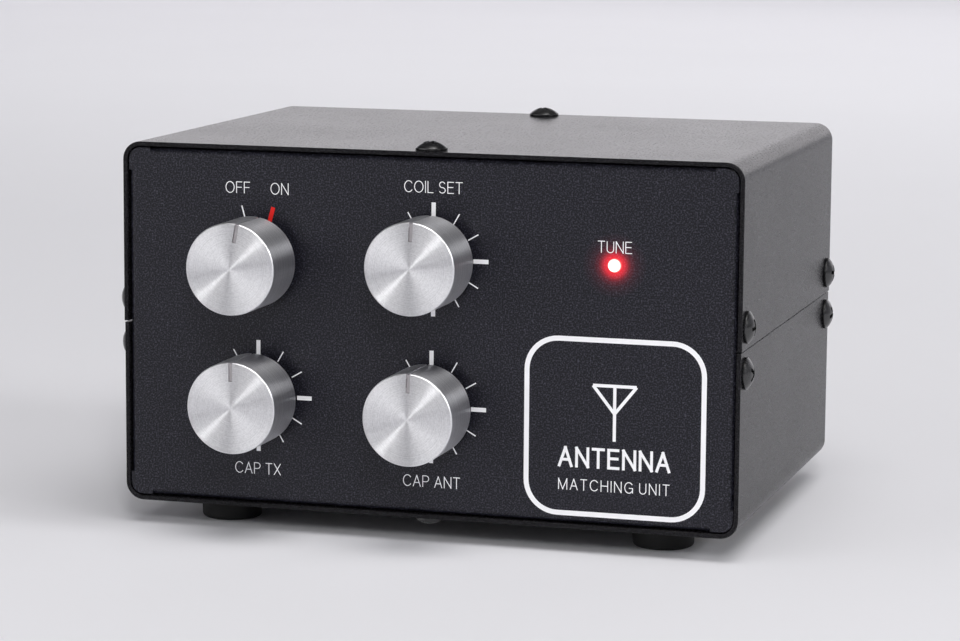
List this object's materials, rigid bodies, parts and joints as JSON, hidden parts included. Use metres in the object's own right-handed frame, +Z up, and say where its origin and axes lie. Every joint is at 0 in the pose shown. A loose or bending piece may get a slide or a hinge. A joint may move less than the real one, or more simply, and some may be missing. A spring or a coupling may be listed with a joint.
{
  "type": "antenna tuner",
  "caption": "Desk-top antenna tuner: black folded sheet metal box on rubber feet, with turned aluminium control knobs and a red lamp on the front and coaxial sockets on the back.",
  "frame": {"origin": "on the floor, under the middle of the box", "axes": "+X to the right seen from the front, +Y towards the back, +Z up; the knobs face -Y"},
  "size_m": [0.144, 0.135, 0.0878],
  "materials": {
    "case_paint": "fine sand-texture black powder coat",
    "panel_paint": "fine sand-texture black powder coat",
    "black_screw": "glossy black oxide",
    "foot_rubber": "matte black rubber",
    "knob_aluminium": "spun face, satin turned side",
    "zinc_steel": "zinc plated",
    "turned_brass": "turned brass",
    "nickel_plate": "nickel plated brass",
    "plate_aluminium": "plain sheet aluminium",
    "switch_plastic": "moulded black plastic",
    "phenolic": "brown phenolic laminate",
    "ptfe": "white insulator",
    "nylon": "natural nylon",
    "board_laminate": "green solder mask",
    "core_powder": "red-coated iron powder core",
    "copper_wire": "enamelled copper",
    "resistor_body": "grey-blue metal film coating",
    "lamp_red": "clear red, lit",
    "inlet_plastic": "moulded black plastic",
    "wire_cover": "red and black insulation"
  },
  "bodies": {
    "case": {"top_cover": "case_paint", "bottom_cover": "case_paint", "front_panel": "panel_paint", "rear_panel": "panel_paint", "top_cover_screws": "black_screw", "bottom_cover_screws": "black_screw", "rubber_feet": "foot_rubber", "foot_screws": "zinc_steel", "foot_nuts": "zinc_steel", "shaft_nuts": "zinc_steel", "shaft_washers": "zinc_steel", "power_switch_body": "switch_plastic", "power_switch_terminals": "nickel_plate", "coil_switch_frame": "zinc_steel", "coil_switch_detent_spring": "zinc_steel", "coil_switch_wafer": "phenolic", "coil_switch_contacts": "nickel_plate", "coil_switch_posts": "zinc_steel", "coil_core": "core_powder", "coil_winding": "copper_wire", "coil_tap_wires": "copper_wire", "coil_bracket": "nylon", "tx_stator_plates": "plate_aluminium", "antenna_stator_plates": "plate_aluminium", "capacitor_end_plates": "ptfe", "capacitor_rods": "turned_brass", "capacitor_bushings": "turned_brass", "capacitor_bearings": "turned_brass", "circuit_board": "board_laminate", "board_standoffs": "turned_brass", "inner_screws": "zinc_steel", "bridge_resistors": "resistor_body", "current_transformer": "copper_wire", "lamp": "lamp_red", "lamp_holder": "switch_plastic", "tx_socket": "nickel_plate", "antenna_socket": "nickel_plate", "socket_insulators": "ptfe", "socket_contacts": "turned_brass", "socket_screws": "zinc_steel", "socket_nuts": "zinc_steel", "power_inlet": "inlet_plastic", "earth_screw": "zinc_steel", "hookup_wires": "wire_cover"},
    "power_control": {"power_knob": "knob_aluminium", "power_grub_screw": "zinc_steel", "power_switch_shaft": "zinc_steel"},
    "coil_control": {"coil_knob": "knob_aluminium", "coil_grub_screw": "zinc_steel", "coil_switch_shaft": "zinc_steel", "coil_switch_detent_wheel": "turned_brass", "coil_switch_wiper": "phenolic"},
    "tx_control": {"tx_knob": "knob_aluminium", "tx_grub_screw": "zinc_steel", "tx_capacitor_shaft": "turned_brass", "tx_rotor_plates": "plate_aluminium"},
    "antenna_control": {"antenna_knob": "knob_aluminium", "antenna_grub_screw": "zinc_steel", "antenna_capacitor_shaft": "turned_brass", "antenna_rotor_plates": "plate_aluminium"}
  },
  "joints": [
    {"name": "power_turn", "type": "hinge", "parent": "case", "child": "power_control", "pos_m": [-0.0385, -0.0535, 0.0607], "axis": [0, 1, 0], "range_deg": [-30, 0]},
    {"name": "coil_turn", "type": "hinge", "parent": "case", "child": "coil_control", "pos_m": [0.0018, -0.0535, 0.0625], "axis": [0, 1, 0], "range_deg": [0, 330]},
    {"name": "tx_turn", "type": "hinge", "parent": "case", "child": "tx_control", "pos_m": [-0.0384, -0.0535, 0.0305], "axis": [0, 1, 0], "continuous": true},
    {"name": "antenna_turn", "type": "hinge", "parent": "case", "child": "antenna_control", "pos_m": [0.0015, -0.0535, 0.0302], "axis": [0, 1, 0], "continuous": true}
  ]
}
